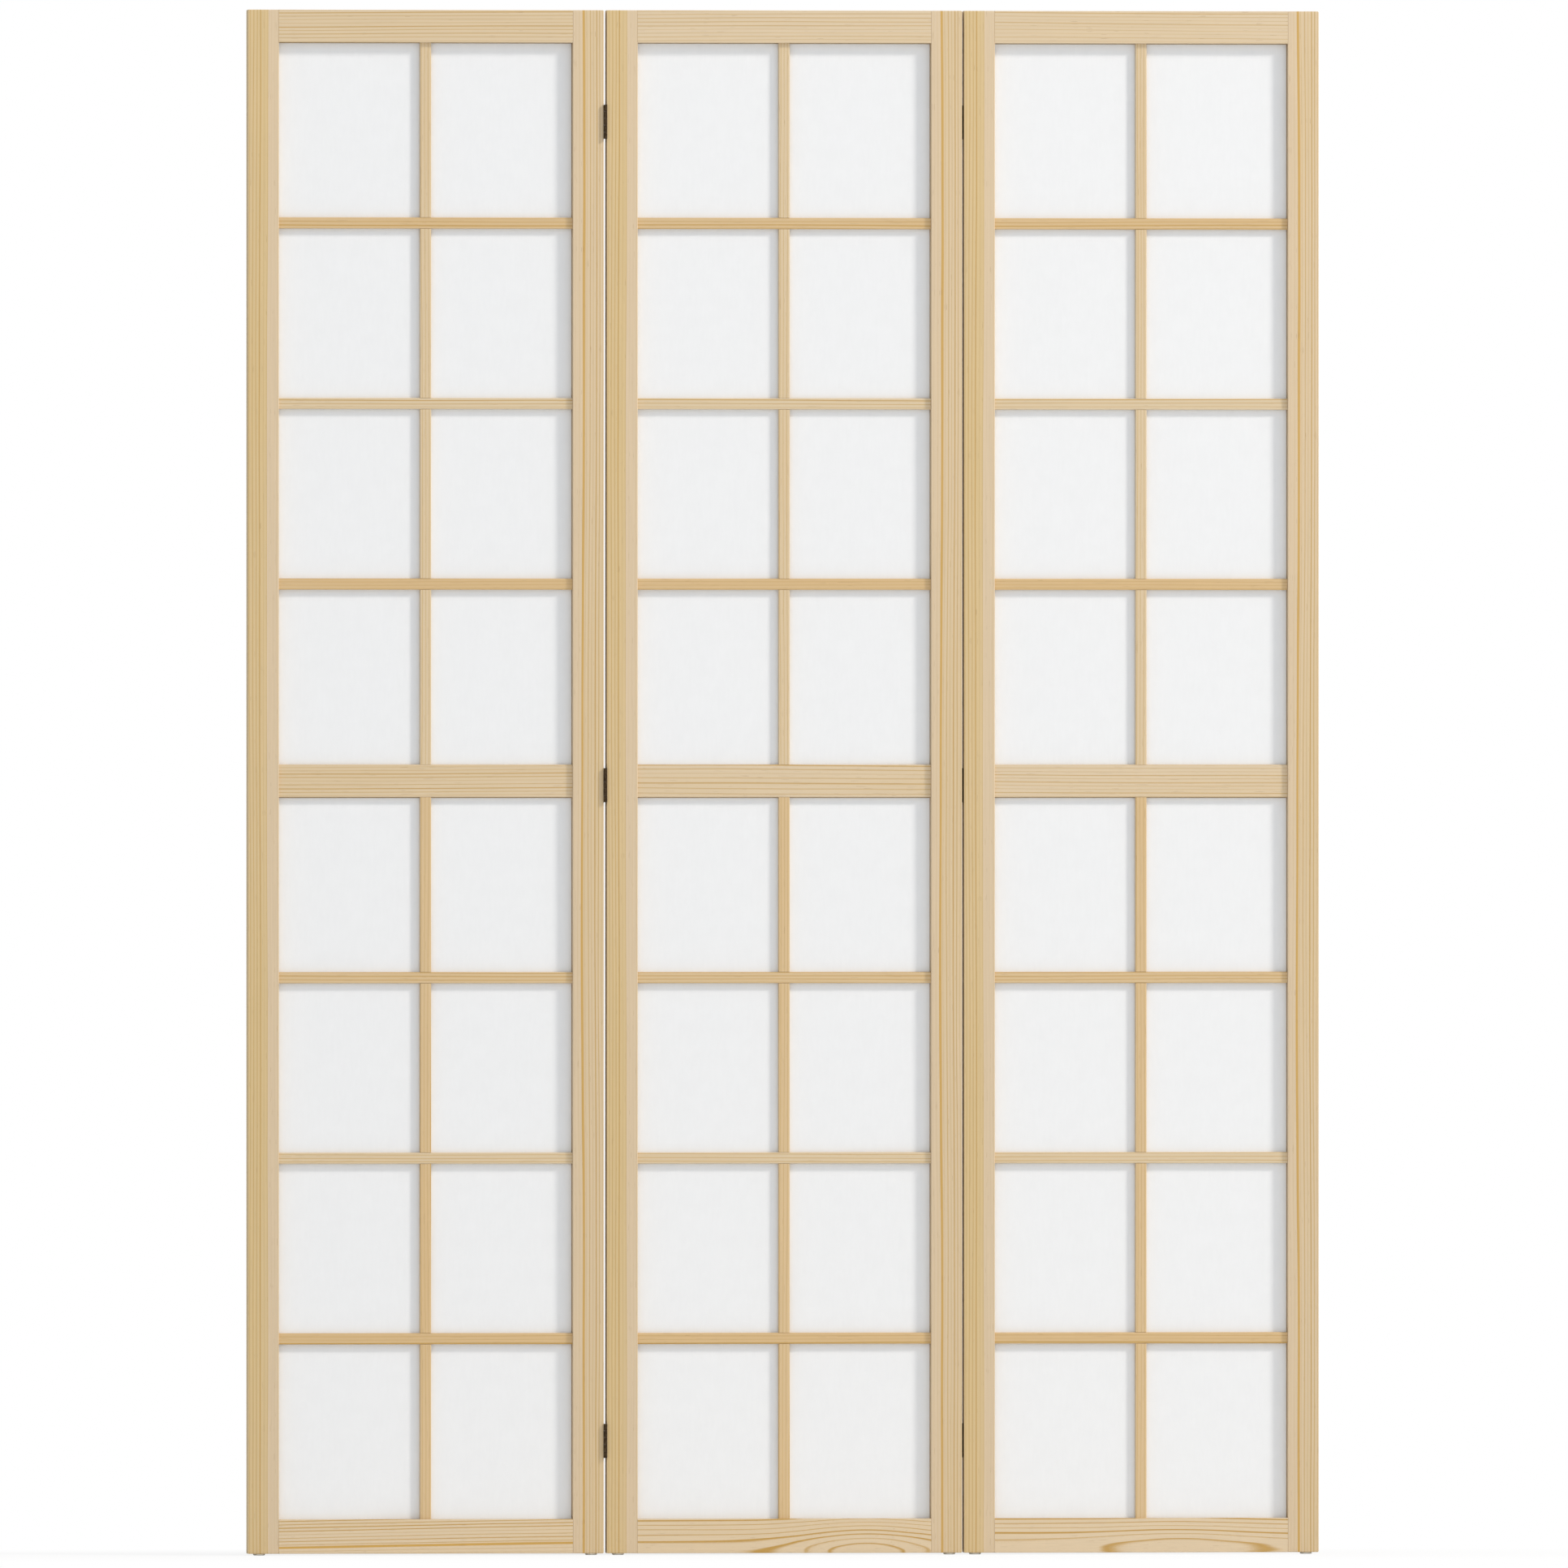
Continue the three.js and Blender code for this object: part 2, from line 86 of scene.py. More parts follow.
def add_camera():
    """A level camera. Lens length over sensor width is distance over view width."""
    data = bpy.data.cameras.new("view")
    data.sensor_width = 36.0
    data.lens = data.sensor_width * CAMERA_DISTANCE / (PICTURE_SIDE * SCALE)
    data.clip_end = 2 * CAMERA_DISTANCE
    camera = bpy.data.objects.new("view", data)
    right = np.array([np.cos(CAMERA_TURN), np.sin(CAMERA_TURN), 0])
    back = np.array([np.sin(CAMERA_TURN), -np.cos(CAMERA_TURN), 0])
    target = (CAD_LOW + CAD_HIGH) / 2
    target[1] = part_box("centre_panel_left_stile")[0].y
    target += right * (PICTURE_SIDE / 2 - SCREEN_MIDDLE[0]) * SCALE
    target[2] -= (PICTURE_SIDE / 2 - SCREEN_MIDDLE[1]) * SCALE
    camera.location = target + back * CAMERA_DISTANCE
    camera.rotation_euler = (np.pi / 2, 0, CAMERA_TURN)
    bpy.context.scene.collection.objects.link(camera)
    bpy.context.scene.camera = camera
    print("camera at", tuple(round(v, 3) for v in camera.location), "lens", round(data.lens, 1))


add_camera()

# %% [markdown]
# ## The light
#
# Two lights make the picture. A soft white sky comes from all round, strongest
# from the front, and stronger from behind than from the sides, so that it shines
# through the paper. It gives three quarters of the light. A key lamp, high right,
# gives the rest and draws the slim shadows that the posts and bars lay on the
# paper. The places of those shadows tell its direction: for each millimetre
# that a bar stands off the paper, its shadow moves 2.1 mm to the left and 1.7 mm
# down. The soft edge of the shadows tells its size, about seven degrees across.
# The sky is a little blue and the key lamp a little warm. Together they are
# white, and the shadows, which only the sky reaches, stay cool.

# %% Sky and key lamp
SKY_ROUND = 0.455
SKY_AHEAD = 0.705  # added towards the front of the screen
SKY_BEHIND = 0.4  # added towards its back
SKY_COLOUR = (0.932, 0.96, 1.0, 1)
KEY_COLOUR = (1.0, 0.95, 0.89)
SHADOW_SHIFT = np.array([2.09, -1.0, 1.72])  # right, back and up, towards the lamp, for each unit in front
KEY_DIRECTION = SHADOW_SHIFT / np.linalg.norm(SHADOW_SHIFT)
KEY_DISTANCE = 17.0
KEY_SIZE = 2.1
KEY_SHARE = 0.258  # of the light on the front of the screen


def link_in(tree, value, socket):
    """Sets a socket to a number or colour, or links it where the value is an output socket."""
    if isinstance(value, bpy.types.NodeSocket):
        tree.links.new(value, socket)
    else:
        socket.default_value = value


def node(tree, kind, inputs=None, **settings):
    """Adds one shader node. settings are its own options, inputs its sockets by name or number."""
    made = tree.nodes.new("ShaderNode" + kind)
    for key, value in settings.items():
        setattr(made, key, value)
    for key, value in (inputs or {}).items():
        link_in(tree, value, made.inputs[key])
    return made


def shows_backdrop(tree):
    """1 for rays from the camera and for those that metal or glass sends on, 0 for all others."""
    path = node(tree, "LightPath").outputs
    seen = node(tree, "Math", {0: path["Is Camera Ray"], 1: path["Is Glossy Ray"]}, operation="MAXIMUM")
    both = {0: seen.outputs[0], 1: path["Is Transmission Ray"]}
    return node(tree, "Math", both, operation="MAXIMUM").outputs[0]


def add_sky():
    """A pale surround of strength round + ahead * f * f + behind * b * b.

    f is the cosine to the front axis and b the one to the back axis, or 0 where that is negative.
    What shows of the sky has strength 1, and the light that it gives is set apart from that.
    """
    world = bpy.data.worlds.new("sky")
    world.use_nodes = True
    tree = world.node_tree
    tree.nodes.clear()
    way = node(tree, "SeparateXYZ", {0: node(tree, "TexCoord").outputs["Generated"]}).outputs
    strength = SKY_ROUND
    for side, share in (("MINIMUM", SKY_AHEAD), ("MAXIMUM", SKY_BEHIND)):
        cosine = node(tree, "Math", {0: way[1], 1: 0.0}, operation=side).outputs[0]
        square = node(tree, "Math", {0: cosine, 1: cosine}, operation="MULTIPLY").outputs[0]
        added = {0: square, 1: share, 2: strength}
        strength = node(tree, "Math", added, operation="MULTIPLY_ADD").outputs[0]
    light = node(tree, "Background", {"Color": SKY_COLOUR, "Strength": strength})
    shown = node(tree, "Background", {"Color": (1, 1, 1, 1), "Strength": 1.0})
    both = node(tree, "MixShader", {0: shows_backdrop(tree), 1: light.outputs[0], 2: shown.outputs[0]})
    node(tree, "OutputWorld", {"Surface": both.outputs[0]})
    bpy.context.scene.world = world


def add_key():
    """A square lamp. The brightness that it adds to a white face is power * cos / (pi * distance)^2."""
    data = bpy.data.lights.new("key", "AREA")
    data.shape = "SQUARE"
    data.size = KEY_SIZE
    data.color = KEY_COLOUR
    facing = -KEY_DIRECTION[1]
    data.energy = KEY_SHARE * (np.pi * KEY_DISTANCE) ** 2 / facing
    lamp = bpy.data.objects.new("key", data)
    middle = (CAD_LOW + CAD_HIGH) / 2
    lamp.location = middle + KEY_DIRECTION * KEY_DISTANCE
    lamp.rotation_euler = Vector(-KEY_DIRECTION).to_track_quat("-Z", "Y").to_euler()
    bpy.context.scene.collection.objects.link(lamp)
    print("key lamp at", lamp.location[:], "power", round(data.energy, 1))


add_sky()
add_key()
bpy.context.scene.view_settings.view_transform = "Standard"

# %% [markdown]
# ## The floor
#
# The floor is a wide pale disc. It throws light up at the screen and takes its
# shadow. Close to the screen the shadow shows, and further out the floor fades
# into the white surround, so that no horizon cuts the picture.

# %% Floor
FLOOR_RADIUS = 14.0
FLOOR_COLOUR = (0.84, 0.84, 0.83, 1)
FLOOR_SIDES = 96
FADE_SHAPE = (0.35, 1, 0)  # distances along the screen count for less than those across it
FADE_START = 0.1  # from the foot of the screen
FADE_END = 0.6
SHADOW_HIDDEN = 0.8  # how far the white covers the floor right at the screen


def floor_material():
    """Diffuse white, covered for the camera by plain white, more and more with the distance."""
    material = bpy.data.materials.new("floor_white")
    material.use_nodes = True
    tree = material.node_tree
    tree.nodes.clear()
    place = node(tree, "TexCoord").outputs["Object"]
    squeeze = node(tree, "VectorMath", {0: place, 1: FADE_SHAPE}, operation="MULTIPLY")
    away = node(tree, "VectorMath", {0: squeeze.outputs[0]}, operation="LENGTH").outputs["Value"]
    fade = node(
        tree,
        "MapRange",
        {0: away, 1: FADE_START, 2: FADE_END, 3: SHADOW_HIDDEN, 4: 1.0},
        interpolation_type="SMOOTHSTEP",
    )
    cover = {0: fade.outputs[0], 1: shows_backdrop(tree)}
    cover = node(tree, "Math", cover, operation="MULTIPLY").outputs[0]
    matt = node(tree, "BsdfDiffuse", {"Color": FLOOR_COLOUR})
    white = node(tree, "Emission", {"Color": (1, 1, 1, 1), "Strength": 1.0})
    both = node(tree, "MixShader", {0: cover, 1: matt.outputs[0], 2: white.outputs[0]})
    node(tree, "OutputMaterial", {"Surface": both.outputs[0]})
    return material


def add_floor():
    """A disc of one ring of points about the origin, at height 0."""
    angle = np.linspace(0, 2 * np.pi, FLOOR_SIDES, endpoint=False)
    rim = np.stack([np.cos(angle), np.sin(angle), 0 * angle], -1) * FLOOR_RADIUS
    mesh = bpy.data.meshes.new("floor")
    mesh.from_pydata(rim.tolist(), [], [list(range(len(rim)))])
    mesh.materials.append(floor_material())
    floor = bpy.data.objects.new("floor", mesh)
    bpy.context.scene.collection.objects.link(floor)
    floor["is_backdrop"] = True


add_floor()
print("floor of radius", FLOOR_RADIUS)

# %% [markdown]
# ## Pine
#
# Pine shows its growth rings. Each year adds a wide pale band and a narrow
# golden one, and the golden one ends sharply where the next spring begins. An
# even stripe pattern would look printed, so the wood here is a real log in
# space: every board carries, in an attribute named log, where each of its points
# lay in the trunk. The first two numbers lead across the trunk from its pith and
# the third runs along it. The distance from the pith then gives the ring.
#
# On top of the rings come a slow wander of the whole pattern, a different
# strength for each ring, long fine fibres, and short dark dashes where resin
# canals are cut open. The young wood under the bark, the sapwood, is plain.

# %% Colours and the log's measures
RING = 0.0040  # one year's growth
HEART_RINGS = 37  # the rings inside the sapwood
SAPWOOD = RING * HEART_RINGS


def srgb(red, green, blue):
    """A colour as it looks on a display, 0 to 255, turned to the linear values that shaders use."""
    value = np.array([red, green, blue]) / 255
    linear = np.where(value <= 0.04045, value / 12.92, ((value + 0.055) / 1.055) ** 2.4)
    return (*linear.tolist(), 1.0)


PALE_PINE = {
    "stile_pine": srgb(210, 189, 158),
    "rail_pine": srgb(213, 193, 162),
    "lattice_pine": srgb(212, 192, 159),
}
HONEY_PINE = {
    "stile_pine": srgb(207, 182, 135),
    "rail_pine": srgb(206, 180, 136),
    "lattice_pine": srgb(207, 177, 131),
}
GOLD_LINE = srgb(184, 146, 76)
STRONG_GOLD = srgb(196, 156, 82)
DASH_BROWN = srgb(150, 116, 76)


def noise(tree, vector, scale, detail=2.0, roughness=0.5):
    """Fractal noise on a stretched copy of the coordinates. scale is in cycles per metre, by axis."""
    stretched = node(tree, "VectorMath", {0: vector, 1: scale}, operation="MULTIPLY").outputs[0]
    inputs = {"Vector": stretched, "Scale": 1.0, "Detail": detail, "Roughness": roughness}
    return node(tree, "TexNoise", inputs).outputs["Fac"]


def math(tree, operation, first, second=0.0, third=0.0):
    """One step of arithmetic on sockets or numbers."""
    made = node(tree, "Math", {0: first, 1: second}, operation=operation)
    link_in(tree, third, made.inputs[2])
    return made.outputs[0]


def spread(tree, value, low, high, to_low, to_high):
    """Maps a stretch of values smoothly onto another and holds it there at both ends."""
    inputs = {0: value, 1: low, 2: high, 3: to_low, 4: to_high}
    return node(tree, "MapRange", inputs, interpolation_type="SMOOTHSTEP").outputs[0]


def blend_colours(tree, amount, first, second, mode="MIX"):
    """Two colours mixed by amount."""
    made = node(tree, "Mix", data_type="RGBA", blend_type=mode)
    for value, index in ((amount, 0), (first, 6), (second, 7)):
        link_in(tree, value, made.inputs[index])
    return made.outputs[2]


# %% [markdown]
# Boards differ, and two more attributes tell them apart. In tone, the first
# number is how honey-coloured the board's older wood is, the second how strong
# its lines are, and the third picks another set of ring strengths, as another
# tree would have. The number stripe is the strength of the last ring before the
# sapwood, which on some boards is a wide golden line.

# %% The rings
WANDER, WAVER = 0.0060, 0.0012  # how far the rings stray, slowly and quickly
STRAY = (WANDER + WAVER) / 2  # what the two add on average, taken off again
LINE_START = (0.70, 0.48)  # of a year's growth, where a faint golden line starts, and a strong one
LINE_PEAK, LINE_END = 0.86, 0.98  # of a year's growth, where it is strongest and where it ends
FAINTEST = 0.35  # strength of the faintest line in the old wood
HEART_END = (HEART_RINGS - 0.15, HEART_RINGS + 0.05)  # rings over which the sapwood takes over
WIDE_START = (0.1, 0.45)  # of a year's growth, where the wide golden line comes up
SAPWOOD_SHARE = 0.25  # how strong lines are in the sapwood


def ring_pattern(tree, log, tone, stripe):
    """How strong a golden line is here, how strong a wide one, and 1 in old wood, 0 in sapwood."""
    wander = noise(tree, log, (26, 26, 1.5), detail=1.0)
    waver = noise(tree, log, (120, 120, 6.0), detail=1.0)
    flat = node(tree, "VectorMath", {0: log, 1: (1, 1, 0)}, operation="MULTIPLY").outputs[0]
    radius = node(tree, "VectorMath", {0: flat}, operation="LENGTH").outputs["Value"]
    radius = math(tree, "MULTIPLY_ADD", wander, WANDER, radius)
    radius = math(tree, "MULTIPLY_ADD", waver, WAVER, radius)
    year = math(tree, "DIVIDE", math(tree, "SUBTRACT", radius, STRAY), RING)
    which = math(tree, "FLOOR", year)
    part = math(tree, "FRACT", year)
    seed = math(tree, "ADD", which, tone[2])
    chance = node(tree, "TexWhiteNoise", {"W": seed}, noise_dimensions="1D").outputs["Value"]
    start = spread(tree, chance, 0.0, 1.0, *LINE_START)
    climb = math(tree, "SUBTRACT", LINE_PEAK, start)
    rise = math(tree, "DIVIDE", math(tree, "SUBTRACT", part, start), climb)
    rise = spread(tree, rise, 0.0, 1.0, 0.0, 1.0)
    fall = spread(tree, part, LINE_PEAK, LINE_END, 1.0, 0.0)
    line = math(tree, "MULTIPLY", rise, fall)
    heart = spread(tree, year, *HEART_END, 1.0, 0.0)
    strength = math(tree, "MULTIPLY", spread(tree, chance, 0.0, 1.0, FAINTEST, 1.0), tone[1])
    strength = math(tree, "MULTIPLY", strength, spread(tree, heart, 0.0, 1.0, SAPWOOD_SHARE, 1.0))
    last = math(tree, "COMPARE", which, HEART_RINGS - 1.0, 0.5)
    wide = math(tree, "MULTIPLY", last, stripe)
    wide_line = math(tree, "MULTIPLY", wide, spread(tree, part, *WIDE_START, 0.0, 1.0))
    wide_line = math(tree, "MULTIPLY", wide_line, fall)
    return math(tree, "MULTIPLY", line, strength), wide_line, heart


# %% [markdown]
# The colour is laid on in the order in which the wood grew: the ground colour of
# old or young wood, then the golden lines, then fibres and dashes. The fibres
# also roughen the finish a little and raise a relief too fine to see by itself.

# %% The pine shader
DRIFT = (30, 30, 2.2)  # cycles in a metre, twice across the trunk and once along it
FIBRES = (900, 900, 11)
CANALS = (1500, 1500, 60)
RELIEF = 0.00012


def pine(name):
    """Clear-finished pine that reads the attributes log, tone and stripe."""
    material = bpy.data.materials.new(name)
    material.use_nodes = True
    tree = material.node_tree
    tree.nodes.clear()
    log = node(tree, "Attribute", attribute_name="log").outputs["Vector"]
    tone_vector = node(tree, "Attribute", attribute_name="tone").outputs["Vector"]
    tone = node(tree, "SeparateXYZ", {0: tone_vector}).outputs
    stripe = node(tree, "Attribute", attribute_name="stripe").outputs["Fac"]
    line, wide_line, heart = ring_pattern(tree, log, tone, stripe)
    drift = spread(tree, noise(tree, log, DRIFT), 0.35, 0.7, -0.12, 0.12)
    honey = math(tree, "MULTIPLY", math(tree, "ADD", drift, tone[0]), heart)
    honey = math(tree, "MAXIMUM", honey, 0.0)
    colour = blend_colours(tree, honey, PALE_PINE[name], HONEY_PINE[name])
    colour = blend_colours(tree, line, colour, GOLD_LINE)
    colour = blend_colours(tree, wide_line, colour, STRONG_GOLD)
    fibre = noise(tree, log, FIBRES, detail=3.0, roughness=0.62)
    shade = spread(tree, fibre, 0.25, 0.75, 0.965, 1.03)
    shade = node(tree, "CombineXYZ", {0: shade, 1: shade, 2: shade}).outputs[0]
    colour = blend_colours(tree, 1.0, colour, shade, "MULTIPLY")
    canal = noise(tree, log, CANALS, detail=0.0)
    canal = spread(tree, canal, 0.76, 0.82, 0.0, 0.3)
    colour = blend_colours(tree, canal, colour, DASH_BROWN)
    height = math(tree, "MULTIPLY_ADD", line, 0.4, fibre)
    bump = node(tree, "Bump", {"Strength": 0.35, "Distance": RELIEF, "Height": height})
    roughness = spread(tree, fibre, 0.2, 0.8, 0.52, 0.64)
    inputs = {"Base Color": colour, "Roughness": roughness, "Normal": bump.outputs[0]}
    inputs["Specular IOR Level"] = 0.3
    surface = node(tree, "BsdfPrincipled", inputs)
    node(tree, "OutputMaterial", {"Surface": surface.outputs[0]})
    print("finish", name, "with", len(tree.nodes), "nodes")
    return material


STILE_PINE = pine("stile_pine")
RAIL_PINE = pine("rail_pine")
LATTICE_PINE = pine("lattice_pine")

# %% [markdown]
# ## A planed board
#
# Posts, rails and bars are all the same thing: a rectangle with eased edges,
# carried along a straight line. It could be a box with a bevel, but then the
# flats would shade as if they were swollen, so the outline has one more point on
# each side of every rounded corner, a little way onto the flat.
#
# A post is also eased at its two ends. There, each corner of the outline is drawn
# in towards the middle, by an amount that follows a quarter circle.

# %% Outline of a board
ARC_STEPS = 5
FLAT_REACH = 0.0004  # from the end of a corner's arc to the point that holds the flat


def eased_outline(width, depth, radii):
    """Outline of a rectangle with rounded corners, and the corner, (+-1, +-1), of each of its points.

    Corner k's arc has its centre at the corner less its radius, and its points lie at centre +
    radius * (cos a, sin a), with a from 90k to 90k + 90 degrees. The first and last of each
    corner's points slide off the arc's ends along the flats.
    """
    corner = np.arange(4)
    turn = np.concatenate([[0], np.linspace(0, 1, ARC_STEPS + 1), [1]])
    angle = (corner[:, None] + turn[None, :]) * np.pi / 2
    normal = np.stack([np.cos(angle), np.sin(angle)], -1)
    tangent = np.stack([-np.sin(angle), np.cos(angle)], -1)
    slide = np.zeros_like(turn)
    slide[0], slide[-1] = -FLAT_REACH, FLAT_REACH
    signs = np.array([[1, 1], [-1, 1], [-1, -1], [1, -1]])
    radii = np.broadcast_to(radii, 4)
    centre = signs * (np.array([width, depth]) / 2 - radii[:, None])
    points = centre[:, None] + radii[:, None, None] * normal + slide[None, :, None] * tangent
    return points.reshape(-1, 2), np.repeat(signs, len(turn), axis=0)


# %% Stations along a board
SMOOTH_ANGLE = np.radians(40)  # a sharper bend than this is an edge
EASE_STEPS = 4


def stations(length, ease):
    """Distances along a board and how far its outline is drawn in there, a quarter circle at each end."""
    if not ease:
        return np.array([0.0, length]), np.zeros(2)
    turn = np.linspace(0, np.pi / 2, EASE_STEPS + 1)
    near, inset = ease * (1 - np.cos(turn)), ease * (1 - np.sin(turn))
    return np.concatenate([near, length - near[::-1]]), np.concatenate([inset, inset[::-1]])


def tube_faces(rings, points):
    """Four-sided faces between neighbouring rings of a closed outline, and one face on each end."""
    ring = np.arange(rings - 1)[:, None] * points
    here = np.arange(points)[None, :]
    after = (here + 1) % points
    sides = np.stack([ring + here, ring + after, ring + points + after, ring + points + here], -1)
    last = (rings - 1) * points
    ends = [list(range(points))[::-1], list(range(last, last + points))]
    return sides.reshape(-1, 4).tolist() + ends


def add_piece(name, mesh, material, body, slot, replaced=()):
    """A piece of a mesh, smooth but for its edges. It rides on a body and stands for named solids."""
    mesh.materials.append(material)
    mesh.shade_smooth()
    mesh.set_sharp_from_angle(angle=SMOOTH_ANGLE)
    piece = bpy.data.objects.new(name, mesh)
    bpy.context.scene.collection.objects.link(piece)
    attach(piece, body)
    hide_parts(*replaced)
    return piece


def new_piece(name, points, faces, *place, **more):
    """A piece made of points, in any number of rows, and of faces between them."""
    mesh = bpy.data.meshes.new(name)
    mesh.from_pydata(np.asarray(points).reshape(-1, 3).tolist(), [], faces)
    return add_piece(name, mesh, *place, **more)


# %% [markdown]
# A board's place in the log is worked out from the same points: across the
# face, through its depth and along its length, each from the pith. A board that is
# sawn close to the pith shows pointed arches wherever the pith comes nearer to
# its face, and for that the pith has a swell at one place along the board.

# %% Boards
SWELL_STATIONS = 81
LIP = 0.00002  # over which a halving's wall drops


def set_vectors(mesh, name, values):
    """Stores one vector for each point of a mesh under a name that shaders can read."""
    attribute = mesh.attributes.new(name, "FLOAT_VECTOR", "POINT")
    attribute.data.foreach_set("vector", np.asarray(values, np.float32).ravel())


def board(name, box, along, radii, log, tone, stripe=0.0, ease=0.0, halvings=(), half_side=0, **place):
    """A planed board that fills a box, lying along X or standing along Z.

    halvings are stretches (from, to) along it where the corners on half_side of its depth sink to
    the middle of the depth, so that a crossing board lies flush in it. log holds the pith's place
    across and in depth, its slant across for each metre, the start along the trunk, and the height,
    place and width of the pith's swell, height * exp(-((x - place) / width)^2). tone and stripe are
    what the pine shader reads.
    """
    low, high = np.array(box[0]), np.array(box[1])
    size, middle = high - low, (high + low) / 2
    width, length = (size[0], size[2]) if along == "Z" else (size[2], size[0])
    depth = size[1]
    outline, corner = eased_outline(width, depth, radii)
    way, inset = stations(length, ease)
    if "swell" in log:
        way, inset = np.linspace(0, length, SWELL_STATIONS), np.zeros(SWELL_STATIONS)
    sunk = np.zeros_like(way)
    for start, stop in halvings:
        way = np.concatenate([way[:-1], [start - LIP, start, stop, stop + LIP], way[-1:]])
        sunk = np.concatenate([sunk[:-1], [0, 1, 1, 0], sunk[-1:]])
    inset = np.pad(inset, (0, len(way) - len(inset)))
    ring = outline[None] - inset[:, None, None] * corner[None]
    ring[..., 1] -= half_side * sunk[:, None] * (corner[:, 1] == half_side) * depth / 2
    sideways, through = ring[..., 0], ring[..., 1]
    run = np.broadcast_to((way - length / 2)[:, None], through.shape)
    if along == "Z":
        points = np.stack([sideways, through, run], -1) + middle
    else:
        points = np.stack([run, through, -sideways], -1) + middle
    piece = new_piece(name, points, tube_faces(len(way), len(outline)), **place)
    run_axis, face_axis = (2, 0) if along == "Z" else (0, 2)
    from_middle = points[..., run_axis] - middle[run_axis]
    across = points[..., face_axis] - log["across"] + log.get("slant", 0.0) * from_middle
    height, place_along, reach_along = log.get("swell", (0.0, 0.0, 1.0))
    swell = height * np.exp(-(((from_middle - place_along) / reach_along) ** 2))
    deep = points[..., 1] - log["deep"] + swell
    inlog = np.stack([across, deep, points[..., run_axis] + log.get("start", 0.0)], -1)
    set_vectors(piece.data, "log", inlog)
    set_vectors(piece.data, "tone", np.broadcast_to(tone, inlog.shape))
    amount = piece.data.attributes.new("stripe", "FLOAT", "POINT")
    amount.data.foreach_set("value", np.full(len(piece.data.vertices), stripe, np.float32))
    return piece


# %% [markdown]
# ## Stiles
#
# The stiles are the upright posts. All of them are sawn with their rings on edge,
# so that the face shows straight lines. The side near the paper is sapwood, plain
# and pale, and the outer part has the honey-coloured lines.

# %% Stiles
PANELS = ("left_panel", "centre_panel", "right_panel")
STILE_ARRIS = 0.0007
STILE_END_EASE = 0.0014
PLAIN_BAND = 0.0095  # sapwood along the inner edge
STILE_PITH_DEPTH = 0.022  # how far the pith lies behind the left stile and in front of the right one
STILE_START, STILE_STEP = 0.37, 0.05  # along the trunk, by the stile's side and by its panel
STILE_TONES = {"left": (0.9, 1.0, 3.0), "right": (0.3, 1.0, 11.0)}
STILE_STRIPES = {"left": 0.0, "right": 0.9}


def add_stile(panel, side, number):
    """A post whose pith lies far out beyond its outer edge, so that its rings run straight."""
    source = f"{panel}_{side}_stile"
    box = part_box(source)
    inwards = 1 if side == "left" else -1
    inner_edge = box[1].x if side == "left" else box[0].x
    log = {
        "across": inner_edge - inwards * (PLAIN_BAND + SAPWOOD),
        "deep": STILE_PITH_DEPTH * inwards,
        "start": STILE_START * (inwards + 2) + STILE_STEP * number,
    }
    tone, stripe = STILE_TONES[side], STILE_STRIPES[side]
    place = dict(material=STILE_PINE, body=panel, slot="stile_pine", replaced=[source])
    board(f"{source}_board", box, "Z", STILE_ARRIS, log, tone, stripe, STILE_END_EASE, **place)


for number, panel in enumerate(PANELS):
    for side in ("left", "right"):
        add_stile(panel, side, number)
print("stiles:", 2 * len(PANELS))

# %% [markdown]
# ## Rails
#
# Three rails cross each panel. They are cut square and pushed up tight against
# the stiles, whose eased edges leave a fine groove at each seam. The bottom rails
# are sawn nearer to the middle of the tree and show long pointed arches.

# %% Rails
RAIL_ARRIS = 0.0009
RAIL_START, RAIL_STEP = 2.0, 0.6  # along the trunk, and more for each panel
OPENING = [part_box("centre_panel_left_stile")[1].x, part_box("centre_panel_right_stile")[0].x]
OPENING_WIDTH = OPENING[1] - OPENING[0]
PANEL_MIDDLE = {
    panel: (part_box(f"{panel}_left_stile")[0].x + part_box(f"{panel}_right_stile")[1].x) / 2
    for panel in PANELS
}


def between_stiles(panel, source):
    """The box of a rail or bar without its hidden tenons."""
    low, high = (np.array(corner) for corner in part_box(source))
    low[0] = PANEL_MIDDLE[panel] - OPENING_WIDTH / 2
    high[0] = PANEL_MIDDLE[panel] + OPENING_WIDTH / 2
    return low, high


RAIL_CUTS = {
    "top_rail": [
        dict(across=-0.105, deep=0.03, slant=-0.004, tone=(0.15, 1.0, 23.0)),
        dict(across=-0.085, deep=0.03, slant=-0.005, tone=(0.1, 0.6, 61.0)),
        dict(across=-0.100, deep=0.03, slant=0.006, tone=(0.05, 0.7, 75.0)),
    ],
    "middle_rail": [
        dict(across=-0.100, deep=-0.03, slant=-0.006, tone=(0.25, 1.0, 31.0)),
        dict(across=-0.060, deep=0.05, slant=0.004, tone=(0.15, 0.9, 35.0)),
        dict(across=-0.110, deep=-0.03, slant=0.008, tone=(0.1, 0.75, 89.0)),
    ],
    "bottom_rail": [
        dict(across=0.135, deep=0.0, slant=-0.017, tone=(0.1, 1.2, 47.0), stripe=1.0),
        dict(across=-0.0185, deep=0.0147, swell=(0.012, 0.095, 0.075), tone=(0.05, 1.7, 52.0)),
        dict(across=-0.0165, deep=0.0147, swell=(0.0048, 0.045, 0.088), tone=(0.05, 1.7, 95.0)),
    ],
}


